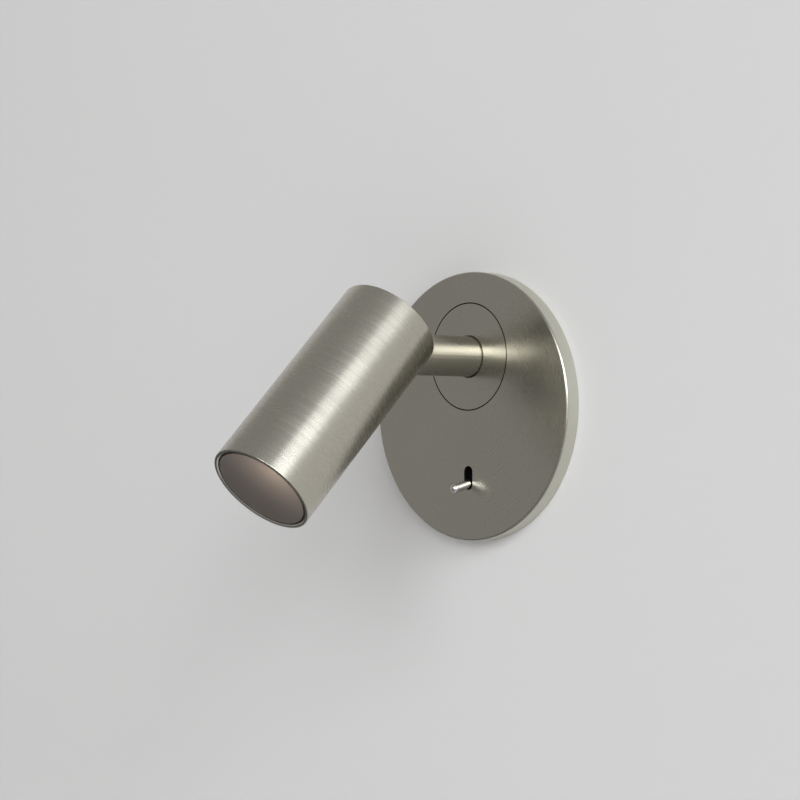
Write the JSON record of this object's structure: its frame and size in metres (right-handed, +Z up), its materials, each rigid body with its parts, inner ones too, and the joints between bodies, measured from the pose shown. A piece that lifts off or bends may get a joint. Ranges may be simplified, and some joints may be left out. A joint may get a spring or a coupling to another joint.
{
  "type": "recessed wall lamp",
  "caption": "Recessed wall reading lamp: round faceplate, short stem, tilting and swivelling tube head, toggle switch.",
  "frame": {"origin": "centre of the faceplate, on the plane of the finished wall", "axes": "+Z up the wall, -Y out into the room, +Y into the wall, +X to the right seen from the room"},
  "size_m": [0.1, 0.1636, 0.1],
  "materials": {
    "brushed_nickel": "satin, brushed",
    "polished_nickel": "polished",
    "galvanised_steel": "galvanised",
    "zinc_plated_steel": "zinc plated",
    "nickel_plated_magnet": "nickel plated",
    "hardened_steel": "ground",
    "spring_steel": "oil blackened",
    "black_oxide_steel": "black oxide",
    "nickel_plated_brass": "nickel plated",
    "tinned_brass": "tinned",
    "yellow_brass": "turned",
    "extruded_aluminium": "turned",
    "black_nylon": "moulded",
    "blue_phenolic": "moulded",
    "white_acetal": "moulded",
    "white_polycarbonate": "moulded",
    "grey_foam_tape": "foam",
    "white_pvc": "extruded",
    "brown_pvc": "extruded",
    "black_pvc": "extruded",
    "blue_pvc": "extruded",
    "green_pvc": "extruded",
    "black_rubber": "moulded",
    "solder_mask_board": "white solder mask",
    "led_phosphor": "silicone dome",
    "metallised_reflector": "vacuum metallised",
    "smoked_lens": "satin frosted, smoked"
  },
  "bodies": {
    "wall_unit": {"faceplate": "brushed_nickel", "plate_magnets": "nickel_plated_magnet", "recess_can": "galvanised_steel", "can_base": "galvanised_steel", "can_flange": "galvanised_steel", "can_lugs": "galvanised_steel", "chassis_plate": "galvanised_steel", "chassis_screws": "zinc_plated_steel", "turret": "brushed_nickel", "turret_screws": "zinc_plated_steel", "stop_peg": "hardened_steel", "stem_bush": "black_nylon", "wave_washer": "spring_steel", "switch_bracket": "galvanised_steel", "bracket_rivets": "zinc_plated_steel", "switch_body": "blue_phenolic", "switch_bushing": "nickel_plated_brass", "switch_lock_washer": "nickel_plated_brass", "switch_nut": "nickel_plated_brass", "switch_pin": "hardened_steel", "switch_terminals": "tinned_brass", "led_driver": "white_polycarbonate", "driver_pad": "grey_foam_tape", "output_lead": "white_pvc", "terminal_block": "white_polycarbonate", "terminal_screws": "zinc_plated_steel", "cable_grommet": "black_rubber", "earth_tag": "tinned_brass", "earth_screw": "yellow_brass", "live_wire": "brown_pvc", "switched_wire": "black_pvc", "neutral_wire": "blue_pvc", "earth_wire": "green_pvc"},
    "stem": {"stem": "brushed_nickel", "retaining_ring": "spring_steel", "stop_pin": "hardened_steel", "stem_lead": "white_pvc"},
    "head": {"head_tube": "brushed_nickel", "rear_cap": "brushed_nickel", "heat_sink": "extruded_aluminium", "pivot_pin": "hardened_steel", "friction_washers": "white_acetal", "led_board": "solder_mask_board", "led_chip": "led_phosphor", "board_screws": "zinc_plated_steel", "board_lead": "white_pvc", "reflector": "metallised_reflector", "lens_gasket": "black_rubber", "lens": "smoked_lens", "tube_grub_screw": "black_oxide_steel"},
    "switch_lever": {"switch_lever": "polished_nickel"}
  },
  "joints": [
    {"name": "stem_swivel", "type": "hinge", "parent": "wall_unit", "child": "stem", "pos_m": [0, 0, 0.0185], "axis": [0, 1, 0], "range_deg": [-165, 165]},
    {"name": "head_tilt", "type": "hinge", "parent": "stem", "child": "head", "pos_m": [0, -0.0569, 0.0185], "axis": [1, 0, 0], "range_deg": [-45, 45]},
    {"name": "switch_toggle", "type": "hinge", "parent": "wall_unit", "child": "switch_lever", "pos_m": [0, 0.0022, -0.0266], "axis": [-1, 0, 0], "range_deg": [0, 28.2]}
  ]
}
